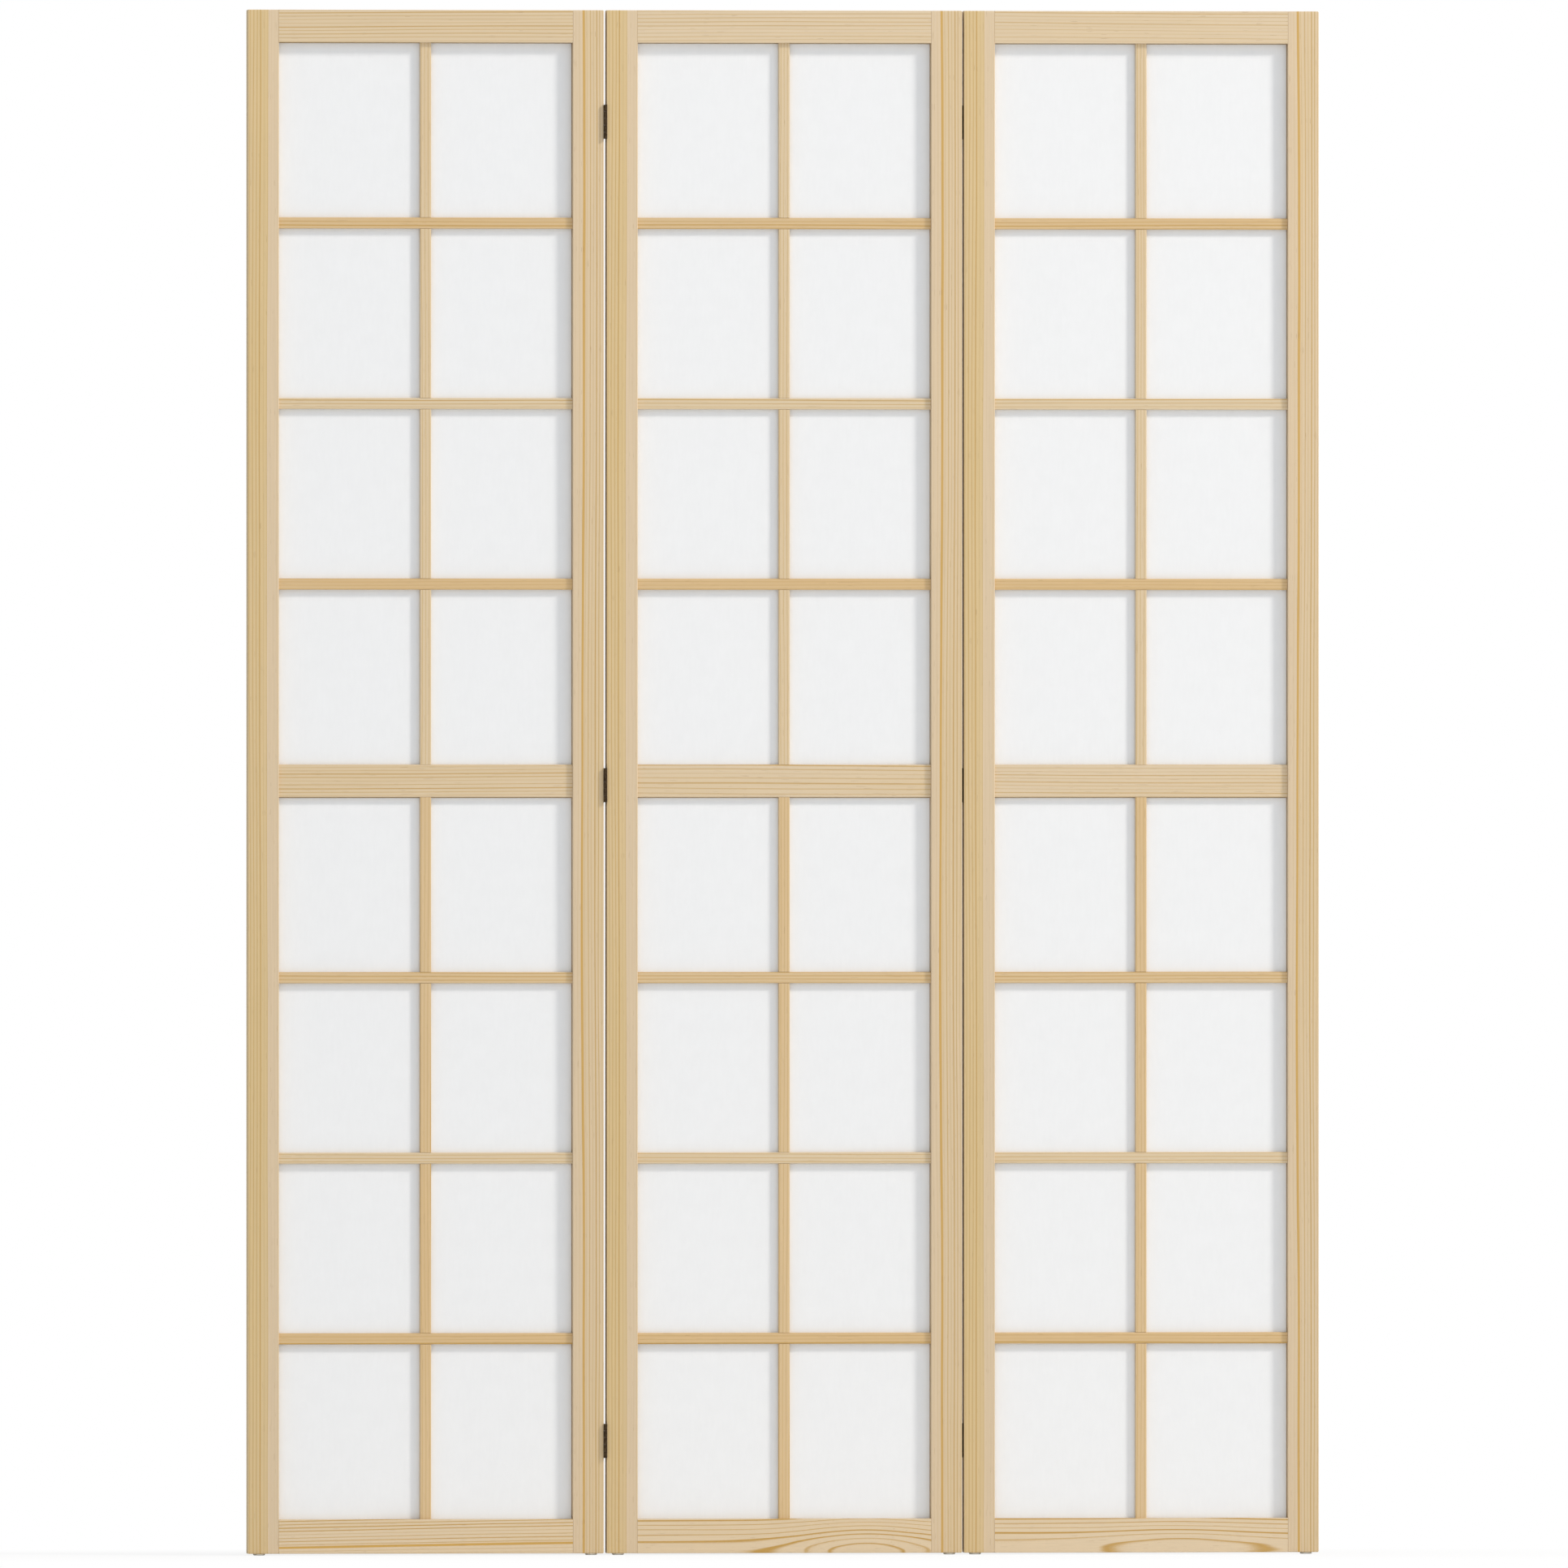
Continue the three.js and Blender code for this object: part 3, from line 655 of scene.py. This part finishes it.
def add_rail(panel, rail, number):
    """A rail between the stiles. Its pith lies under it, or close behind it for pointed arches."""
    source = f"{panel}_{rail}"
    box = between_stiles(panel, source)
    cut = dict(RAIL_CUTS[rail][number])
    tone, stripe = cut.pop("tone"), cut.pop("stripe", 0.0)
    cut["across"] += (box[0][2] + box[1][2]) / 2
    cut["start"] = RAIL_START + RAIL_STEP * number
    place = dict(material=RAIL_PINE, body=panel, slot="rail_pine", replaced=[source])
    board(f"{source}_board", box, "X", RAIL_ARRIS, cut, tone, stripe, **place)


for number, panel in enumerate(PANELS):
    for rail in RAIL_CUTS:
        add_rail(panel, rail, number)
print("rails:", len(RAIL_CUTS) * len(PANELS))

# %% [markdown]
# ## Lattice
#
# Each opening has three level bars and one upright bar, on the front and again
# on the back. They cross in halved joints: the level bar keeps its front and the
# upright bar its back, so that both lie flush and the level bars run through.
# The outer edges are eased, and the edges that lie on the paper stay crisp.

# %% Lattice bars
BAR_WIDTH = 0.013
BAR_ARRIS = 0.0009
PAPER_EDGE = 0.00015
LEVEL_TONES = {
    "lower": [(1.15, 1.3, 5.0), (0.1, 1.5, 9.0), (0.7, 1.3, 14.0)],
    "upper": [(1.0, 1.3, 25.0), (0.0, 1.3, 29.0), (0.9, 1.3, 34.0)],
}
UPRIGHT_TONES = {"lower": (0.8, 1.3, 19.0), "upper": (0.2, 1.2, 39.0)}
HALVING_SLACK = 0.0001
LEVEL_PITH, LEVEL_STEP = 0.06, 0.011  # how far the pith lies under a level bar, more for each row
UPRIGHT_PITH = 0.08  # how far it lies to the left of an upright bar
LEVEL_PITH_DEPTH, UPRIGHT_PITH_DEPTH = 0.03, 0.02  # how far it lies out from the paper
ROW_START, PANEL_START = 0.9, 0.31  # along the trunk, for each row and each panel
UPRIGHT_START = 0.4  # along the trunk, for each panel


def lattice_boxes(panel, source):
    """The box of each level bar, from the bottom up, and of the upright bar."""
    low, high = between_stiles(panel, source)
    rails = ("bottom_rail", "middle_rail") if "lower" in source else ("middle_rail", "top_rail")
    floor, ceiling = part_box(f"{panel}_{rails[0]}")[1].z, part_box(f"{panel}_{rails[1]}")[0].z
    heights = floor + (ceiling - floor) * np.array([0.25, 0.5, 0.75])
    half, middle = BAR_WIDTH / 2, PANEL_MIDDLE[panel]
    levels = [([*low[:2], height - half], [*high[:2], height + half]) for height in heights]
    upright = ([middle - half, low[1], floor], [middle + half, high[1], ceiling])
    return levels, upright, heights - floor


def bar_radii(outer):
    """Corner radii in the order of the outline, where outer is the side of Y that looks outwards."""
    return [BAR_ARRIS if sign == outer else PAPER_EDGE for sign in (1, 1, -1, -1)]


def add_lattice(panel, face, opening, number):
    """The four bars of one opening, on one face of the panel."""
    source = f"{panel}_{face}_{opening}_lattice"
    outer = -1 if face == "front" else 1
    levels, upright, crossings = lattice_boxes(panel, source)
    place = dict(material=LATTICE_PINE, body=panel, slot="lattice_pine", replaced=[source])
    half = BAR_WIDTH / 2 + HALVING_SLACK
    for row, box in enumerate(levels):
        log = {
            "across": (box[0][2] + box[1][2]) / 2 - LEVEL_PITH - LEVEL_STEP * row,
            "deep": LEVEL_PITH_DEPTH * outer,
            "start": ROW_START * row + PANEL_START * number,
        }
        board(
            f"{source}_level_bar_{row + 1}",
            box,
            "X",
            bar_radii(outer),
            log,
            LEVEL_TONES[opening][row],
            halvings=[(OPENING_WIDTH / 2 - half, OPENING_WIDTH / 2 + half)],
            half_side=-outer,
            **place,
        )
    log = {
        "across": upright[0][0] - UPRIGHT_PITH,
        "deep": UPRIGHT_PITH_DEPTH * outer,
        "start": UPRIGHT_START * number,
    }
    board(
        f"{source}_upright_bar",
        upright,
        "Z",
        bar_radii(outer),
        log,
        UPRIGHT_TONES[opening],
        halvings=[(height - half, height + half) for height in crossings],
        half_side=outer,
        **place,
    )


for number, panel in enumerate(PANELS):
    for face in ("front", "back"):
        for opening in ("lower", "upper"):
            add_lattice(panel, face, opening, number)
print("lattice bars:", 4 * 4 * len(PANELS))

# %% [markdown]
# ## Shoji paper
#
# The paper is a stiff white sheet with long fibres pressed into it. Between the
# bars it is never quite flat, so each pane swells by a fraction of a millimetre.
# Light also passes through it, which a translucent share in the shader gives.

# %% Paper finish
PAPER_WHITE = srgb(243, 244, 245)
PAPER_SHADE = srgb(241, 242, 243)
TRANSLUCENT_SHARE = 0.12


def paper_material():
    """Matt white with faint clouds and fibres, and a share of light that comes through from behind."""
    material = bpy.data.materials.new("paper")
    material.use_nodes = True
    tree = material.node_tree
    tree.nodes.clear()
    place = node(tree, "TexCoord").outputs["Object"]
    cloud = noise(tree, place, (45, 45, 45), detail=4.0, roughness=0.6)
    fibre = noise(tree, place, (260, 60, 45), detail=3.0, roughness=0.7)
    mottle = math(tree, "MULTIPLY_ADD", fibre, 0.5, math(tree, "MULTIPLY", cloud, 0.5))
    mottle = spread(tree, mottle, 0.35, 0.65, 0.0, 1.0)
    colour = blend_colours(tree, mottle, PAPER_SHADE, PAPER_WHITE)
    bump = node(tree, "Bump", {"Strength": 0.15, "Distance": 0.00008, "Height": fibre})
    roughness = spread(tree, cloud, 0.3, 0.7, 0.82, 0.92)
    inputs = {"Base Color": colour, "Roughness": roughness, "Normal": bump.outputs[0]}
    inputs["Specular IOR Level"] = 0.2
    front = node(tree, "BsdfPrincipled", inputs)
    through = node(tree, "BsdfTranslucent", {"Color": colour})
    mixed = {0: TRANSLUCENT_SHARE, 1: front.outputs[0], 2: through.outputs[0]}
    mixed = node(tree, "MixShader", mixed)
    node(tree, "OutputMaterial", {"Surface": mixed.outputs[0]})
    return material


PAPER = paper_material()

# %% Paper sheets
PANE_SWELL = 0.00018
PANES_ACROSS, PANES_UP = 2, 4
FOOT_REACH = 0.0007  # the sheets reach down almost to the rails under them
PAPER_COLUMNS, PAPER_ROWS = 25, 65


def paper_surface(low, high, side):
    """One face of a sheet: y = middle + side * half - swell * |sin| * |sin|, half a wave to a pane."""
    across, up = np.meshgrid(np.linspace(0, 1, PAPER_COLUMNS), np.linspace(0, 1, PAPER_ROWS))
    pane = np.abs(np.sin(PANES_ACROSS * np.pi * across)) * np.abs(np.sin(PANES_UP * np.pi * up))
    half = (high[1] - low[1]) / 2
    y = (low[1] + high[1]) / 2 + side * half - PANE_SWELL * pane
    x = low[0] + (high[0] - low[0]) * across
    z = low[2] + (high[2] - low[2]) * up
    return np.stack([x, y, z], -1)


def grid_faces(rows, columns, first, flip):
    """Four-sided faces of a grid of points."""
    row = np.arange(rows - 1)[:, None] * columns
    here = row + np.arange(columns - 1)[None, :] + first
    quads = np.stack([here, here + 1, here + columns + 1, here + columns], -1).reshape(-1, 4)
    return (quads[:, ::-1] if flip else quads).tolist()


def rim_faces(rows, columns):
    """Faces that join the edges of two equal grids, front points first and back points after them."""
    bottom = np.arange(columns)
    right = np.arange(rows) * columns + columns - 1
    top = (rows - 1) * columns + np.arange(columns)[::-1]
    left = np.arange(rows)[::-1] * columns
    loop = np.concatenate([bottom[:-1], right[:-1], top[:-1], left[:-1]])
    after = np.roll(loop, -1)
    back = rows * columns
    return np.stack([loop, loop + back, after + back, after], -1).tolist()


def add_paper(panel, opening):
    """A stretched sheet between the two lattices of an opening."""
    source = f"{panel}_{opening}_paper"
    low, high = (np.array(corner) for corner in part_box(source))
    low[2] -= FOOT_REACH
    points = np.concatenate([paper_surface(low, high, side).reshape(-1, 3) for side in (-1, 1)])
    faces = grid_faces(PAPER_ROWS, PAPER_COLUMNS, 0, False)
    faces += grid_faces(PAPER_ROWS, PAPER_COLUMNS, PAPER_ROWS * PAPER_COLUMNS, True)
    faces += rim_faces(PAPER_ROWS, PAPER_COLUMNS)
    sheet = new_piece(f"{source}_sheet", points, faces, PAPER, panel, "paper", [source])


for panel in PANELS:
    for opening in ("lower", "upper"):
        add_paper(panel, opening)
print("paper sheets:", 2 * len(PANELS))

# %% [markdown]
# Behind the paper a slim bead runs round each opening. It closes the narrow gap
# at the sheet's edge, which is why that gap shows as a fine dark line under the
# rails and beside the posts that stand between it and the lamp.

# %% Beads behind the paper
BEAD_WIDTH, BEAD_THICKNESS = 0.0030, 0.0012
BEAD_SET_BACK = 0.0008  # from the middle of the paper
BEAD_ARRIS = 0.0003
BEAD_PITH = 0.07  # how far the pith lies below or left of the wall that a bead runs along
BEAD_PITH_DEPTH, BEAD_START = 0.02, 0.3
BEADS = {"left": ("Z", 0, 0), "right": ("Z", 0, 1), "foot": ("X", 2, 0), "head": ("X", 2, 1)}


def add_beads(panel, opening):
    """Four strips along the walls of an opening, the level ones between the upright ones.

    BEADS gives for each the axis that it lies along, the one that its wall faces, and 0 for the
    low wall or 1 for the high one.
    """
    low, high = between_stiles(panel, f"{panel}_front_{opening}_lattice")
    rails = ("bottom_rail", "middle_rail") if opening == "lower" else ("middle_rail", "top_rail")
    low[2], high[2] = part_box(f"{panel}_{rails[0]}")[1].z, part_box(f"{panel}_{rails[1]}")[0].z
    low[1], high[1] = BEAD_SET_BACK, BEAD_SET_BACK + BEAD_THICKNESS
    for name, (along, axis, end) in BEADS.items():
        box = [low.copy(), high.copy()]
        wall = box[end][axis]
        if along == "X":
            box[0][0] += BEAD_WIDTH
            box[1][0] -= BEAD_WIDTH
        box[0][axis] = wall - end * BEAD_WIDTH
        box[1][axis] = box[0][axis] + BEAD_WIDTH
        log = {"across": wall - BEAD_PITH, "deep": BEAD_PITH_DEPTH, "start": BEAD_START}
        place = dict(material=LATTICE_PINE, body=panel, slot="lattice_pine")
        piece = f"{panel}_{opening}_bead_{name}"
        board(piece, box, along, BEAD_ARRIS, log, UPRIGHT_TONES[opening], **place)


for panel in PANELS:
    for opening in ("lower", "upper"):
        add_beads(panel, opening)
print("beads:", 4 * 2 * len(PANELS))

# %% [markdown]
# ## Glides
#
# A glide is a small domed foot of pale grey plastic on a nail. It is a profile
# turned round an upright line, so its surface is the profile's radius and height
# carried round a circle.

# %% Glides
GLIDE_GREY = srgb(236, 234, 226)
GLIDE_SHADE = (*(0.86 * channel for channel in GLIDE_GREY[:3]), 1.0)
GLIDE_SIDES = 32
GLIDE_FLAT = 0.0050  # radius of the flat underside
DOME_HEIGHT, DOME_POINTS = 0.0012, 7
RIM_BREAK = 0.0003
NAIL_RADIUS = 0.0010
NAIL_FILLET = 0.0004
NAIL_POINT, NAIL_TIP = 0.003, 0.0002  # length of the point and radius at its end


def glide_material():
    """Smooth moulded plastic whose colour and roughness vary a little."""
    material = bpy.data.materials.new("glide")
    material.use_nodes = True
    tree = material.node_tree
    tree.nodes.clear()
    place = node(tree, "TexCoord").outputs["Object"]
    cloud = noise(tree, place, (400, 400, 400), detail=4.0)
    shade = blend_colours(tree, spread(tree, cloud, 0.3, 0.7, 0.0, 1.0), GLIDE_SHADE, GLIDE_GREY)
    rough = spread(tree, cloud, 0.3, 0.7, 0.43, 0.57)
    surface = node(tree, "BsdfPrincipled", {"Base Color": shade, "Roughness": rough})
    node(tree, "OutputMaterial", {"Surface": surface.outputs[0]})
    return material


GLIDE_PLASTIC = glide_material()


def turned(profile, centre, sides):
    """A profile of (radius, height) points turned round the upright line through centre."""
    angle = np.linspace(0, 2 * np.pi, sides, endpoint=False)
    radius, height = np.array(profile).T
    x = centre[0] + radius[:, None] * np.cos(angle)
    y = centre[1] + radius[:, None] * np.sin(angle)
    z = centre[2] + np.broadcast_to(height[:, None], x.shape)
    return np.stack([x, y, z], -1)


def add_glide(panel, side):
    """Flat underside, rounded rim, flat top and nail. It fills the solid's box."""
    source = f"{panel}_{side}_glide"
    low, high = (np.array(corner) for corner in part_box(source))
    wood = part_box(f"{panel}_{side}_stile")[0].z
    rim, top = (high[0] - low[0]) / 2, high[2]
    bend = np.linspace(0, np.pi / 2, DOME_POINTS)
    dome_radius = GLIDE_FLAT + (rim - GLIDE_FLAT) * np.sin(bend)
    dome_height = low[2] + DOME_HEIGHT * (1 - np.cos(bend))
    profile = [(GLIDE_FLAT * 0.5, low[2]), *zip(dome_radius, dome_height)]
    profile += [(rim, wood - RIM_BREAK), (rim - RIM_BREAK, wood), (NAIL_RADIUS + NAIL_FILLET, wood)]
    profile += [(NAIL_RADIUS, wood + NAIL_FILLET), (NAIL_RADIUS, top - NAIL_POINT), (NAIL_TIP, top)]
    centre = [(low[0] + high[0]) / 2, (low[1] + high[1]) / 2, 0.0]
    points = turned(profile, centre, GLIDE_SIDES)
    faces = tube_faces(len(profile), GLIDE_SIDES)
    new_piece(f"{source}_turned", points, faces, GLIDE_PLASTIC, panel, "glide", [source])


for panel in PANELS:
    for side in ("left", "right"):
        add_glide(panel, side)
print("glides:", 2 * len(PANELS))

# %% [markdown]
# ## Hinges
#
# The butt hinges are sheet steel with a dark bronze coat, a little worn to
# brass in spots. The solid leaves already have their rolled knuckles and
# their countersunk holes, so a copy of each one is welded and shaded smooth
# across its round parts. Its sharp edges stay sharp, as sheet metal's are.

# %% Hinge finish
BRONZE = srgb(74, 60, 42)
DARK_BRONZE = srgb(45, 32, 20)
WORN_BRASS = srgb(120, 98, 66)


def bronze_material():
    """Dark coated metal with clouds of tone and worn, smoother spots."""
    material = bpy.data.materials.new("hinge")
    material.use_nodes = True
    tree = material.node_tree
    tree.nodes.clear()
    place = node(tree, "TexCoord").outputs["Object"]
    cloud = noise(tree, place, (320, 320, 320), detail=4.0, roughness=0.6)
    colour = blend_colours(tree, spread(tree, cloud, 0.3, 0.7, 0.0, 1.0), DARK_BRONZE, BRONZE)
    worn = spread(tree, noise(tree, place, (900, 900, 250), detail=3.0), 0.60, 0.72, 0.0, 0.6)
    colour = blend_colours(tree, worn, colour, WORN_BRASS)
    roughness = math(tree, "MULTIPLY_ADD", worn, -0.2, 0.46)
    bump = node(tree, "Bump", {"Strength": 0.2, "Distance": 0.00005, "Height": cloud})
    inputs = {"Base Color": colour, "Metallic": 0.85, "Roughness": roughness}
    surface = node(tree, "BsdfPrincipled", {**inputs, "Normal": bump.outputs[0]})
    node(tree, "OutputMaterial", {"Surface": surface.outputs[0]})
    return material


HINGE_BRONZE = bronze_material()

# %% Leaves and pins
SAME_POINT = 1e-7  # points closer than this are welded
SAME_PLANE = 1e-3  # faces that bend by less than this, in radians, become one


def smooth_copy(source, body):
    """A welded copy of a solid, smooth across its round parts and sharp at its edges."""
    mesh = nodes[source].data.copy()
    mesh.materials.clear()
    work = bmesh.new()
    work.from_mesh(mesh)
    bmesh.ops.remove_doubles(work, verts=work.verts, dist=SAME_POINT)
    bmesh.ops.dissolve_limit(work, angle_limit=SAME_PLANE, verts=work.verts, edges=work.edges)
    work.to_mesh(mesh)
    work.free()
    add_piece(f"{source}_finished", mesh, HINGE_BRONZE, body, "hinge", [source])


HINGES = [f"{joint}_{place}_hinge" for joint in ("left", "right") for place in ("bottom", "middle", "top")]
for hinge in HINGES:
    swinging = hinge.split("_")[0] + "_panel"
    smooth_copy(f"{hinge}_fixed_leaf", "centre_panel")
    smooth_copy(f"{hinge}_swing_leaf", swinging)
    smooth_copy(f"{hinge}_pin", "centre_panel")
print("hinges:", len(HINGES))

# %% [markdown]
# ## Screws
#
# Each leaf is held by two small countersunk screws. A screw's head is a disc
# whose height is a function of the radius and of the distance from the slot's
# middle line: it is flat, falls off at the rim, and drops inside the slot.

# %% Screws
SCREW_SPACING = 0.024
SCREW_EDGE = 0.0055  # from the leaf's edge
LEAF_GAP = 0.00175
SCREW_HEAD = 0.0024  # radius
SCREW_SUNK = 0.00004  # below the leaf's face
SLOT_WIDTH, SLOT_DEPTH = 0.0006, 0.0004
SLOT_BLUR = 0.00004  # how softly its walls drop
RIM_START, RIM_FALL = 0.9, 0.00012  # from this share of the radius the head falls off by this
UNDER_SHARE, UNDER_DEPTH = 0.62, 0.0008  # the cone under the head, at its narrow end
FIRST_RING = 0.02  # of the radius
SCREW_RINGS, SCREW_SIDES = 12, 40
FIRST_TURN, NEXT_TURN, SIDE_TURN = 0.7, 1.9, 0.8  # of the slots, so that a hinge's four all differ


def screw_head(turn):
    """A disc whose height is 0, less the slot and less the rim's fall, with a cone under it.

    The slot is depth / (1 + exp((distance from its line - half its width) / blur)). The fall is
    RIM_FALL * s * s, where s goes from 0 at RIM_START to 1 at the rim.
    """
    radius = np.linspace(FIRST_RING, 1, SCREW_RINGS)[:, None] * SCREW_HEAD
    angle = np.linspace(0, 2 * np.pi, SCREW_SIDES, endpoint=False)[None, :]
    a, b = radius * np.cos(angle), radius * np.sin(angle)
    off_line = np.abs(a * np.sin(turn) - b * np.cos(turn))
    slot = SLOT_DEPTH / (1 + np.exp((off_line - SLOT_WIDTH / 2) / SLOT_BLUR))
    rim = RIM_FALL * np.clip((radius / SCREW_HEAD - RIM_START) / (1 - RIM_START), 0, 1) ** 2
    top = np.stack([a, b, -slot - rim], -1)
    bottom = np.full(SCREW_SIDES, -UNDER_DEPTH)
    under = np.stack([a[-1] * UNDER_SHARE, b[-1] * UNDER_SHARE, bottom], -1)
    return np.concatenate([top, under[None]])


def add_screws(hinge, leaf, body, side):
    """Two screws in a leaf. Their heads look across the slit, away from the wood."""
    source = f"{hinge}_{leaf}_leaf"
    low, high = (np.array(corner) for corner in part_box(source))
    pin = (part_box(f"{hinge}_pin")[0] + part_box(f"{hinge}_pin")[1]) / 2
    depth_side = 1 if hinge.startswith("left") else -1
    edge = high[1] if depth_side > 0 else low[1]
    head_face = pin.x + side * (LEAF_GAP / 2 + SCREW_SUNK)
    faces = tube_faces(SCREW_RINGS + 1, SCREW_SIDES)
    if side > 0:
        faces = [face[::-1] for face in faces]
    for index, offset in enumerate((-SCREW_SPACING / 2, SCREW_SPACING / 2)):
        head = screw_head(FIRST_TURN + NEXT_TURN * index + SIDE_TURN * side)
        x = head_face - side * head[..., 2]
        y = edge - depth_side * SCREW_EDGE + head[..., 0]
        z = pin.z + offset + head[..., 1]
        points = np.stack([x, y, z], -1)
        new_piece(f"{source}_screw_{index + 1}", points, faces, HINGE_BRONZE, body, "hinge")


for hinge in HINGES:
    outwards = 1 if hinge.startswith("left") else -1
    add_screws(hinge, "fixed", "centre_panel", outwards)
    add_screws(hinge, "swing", hinge.split("_")[0] + "_panel", -outwards)
print("screws:", 4 * len(HINGES))
